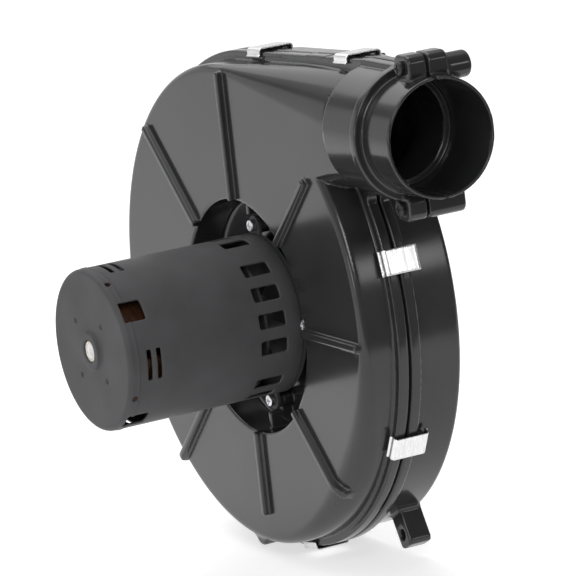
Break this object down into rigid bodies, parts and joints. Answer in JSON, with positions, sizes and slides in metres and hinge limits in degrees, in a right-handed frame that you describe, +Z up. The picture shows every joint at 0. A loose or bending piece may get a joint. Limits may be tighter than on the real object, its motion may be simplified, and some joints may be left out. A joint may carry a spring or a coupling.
{
  "type": "combustion fan",
  "caption": "Furnace draft inducer: round moulded scroll housing with a side outlet collar, spring clips and a slotted motor on its front.",
  "frame": {"origin": "centre of the inlet opening, on the rear mounting face", "axes": "+Y out of the inlet into the appliance, so the motor stands out along -Y; +X along the outlet collar, the way the gas leaves; +Z up"},
  "size_m": [0.3162, 0.1489, 0.2779],
  "materials": {
    "housing_plastic": "moulded black, satin gloss",
    "seal_rubber": "matt black",
    "grommet_rubber": "matt black",
    "spring_steel": "bright rolled strip",
    "zinc_screw": "bright zinc",
    "black_screw": "black oxide",
    "motor_paint": "satin black enamel",
    "lamination": "stacked sheets",
    "winding": "varnished copper wire",
    "bronze": "sintered",
    "shaft_steel": "ground",
    "rotor_cast": "die cast",
    "washer_nylon": "natural nylon",
    "fan_plastic": "moulded",
    "impeller_plastic": "moulded, glass filled"
  },
  "bodies": {
    "housing": {"front_shell": "housing_plastic", "rear_shell": "housing_plastic", "housing_seal": "seal_rubber", "inlet_gasket": "seal_rubber", "clip_right_upper": "spring_steel", "clip_right_lower": "spring_steel", "clip_bottom": "spring_steel", "clip_left_lower": "spring_steel", "clip_left": "spring_steel", "clip_left_upper": "spring_steel", "clip_top": "spring_steel", "clip_outlet": "spring_steel", "collar_screw_top": "black_screw", "collar_screw_bottom": "black_screw", "motor_can": "motor_paint", "motor_end_bell": "motor_paint", "lead_grommet": "seal_rubber", "shaft_seal": "seal_rubber", "mount_screw_right": "zinc_screw", "mount_screw_top": "zinc_screw", "mount_screw_left": "zinc_screw", "mount_screw_bottom": "zinc_screw", "mount_grommet_right": "grommet_rubber", "mount_grommet_top": "grommet_rubber", "mount_grommet_left": "grommet_rubber", "mount_grommet_bottom": "grommet_rubber", "stator_core": "lamination", "stator_coils": "winding", "front_bearing": "bronze", "rear_bearing": "bronze", "thrust_washer": "washer_nylon"},
    "rotor": {"shaft": "shaft_steel", "rotor_core": "lamination", "rotor_end_rings": "rotor_cast", "cooling_fan": "fan_plastic", "slinger": "fan_plastic", "impeller_hub": "impeller_plastic", "impeller_backplate": "impeller_plastic", "impeller_blades": "impeller_plastic", "impeller_shroud": "impeller_plastic", "impeller_washer": "shaft_steel", "impeller_nut": "shaft_steel"}
  },
  "joints": [
    {"name": "rotor_spin", "type": "hinge", "parent": "housing", "child": "rotor", "pos_m": [0, 0, 0], "axis": [0, 1, 0], "continuous": true}
  ]
}
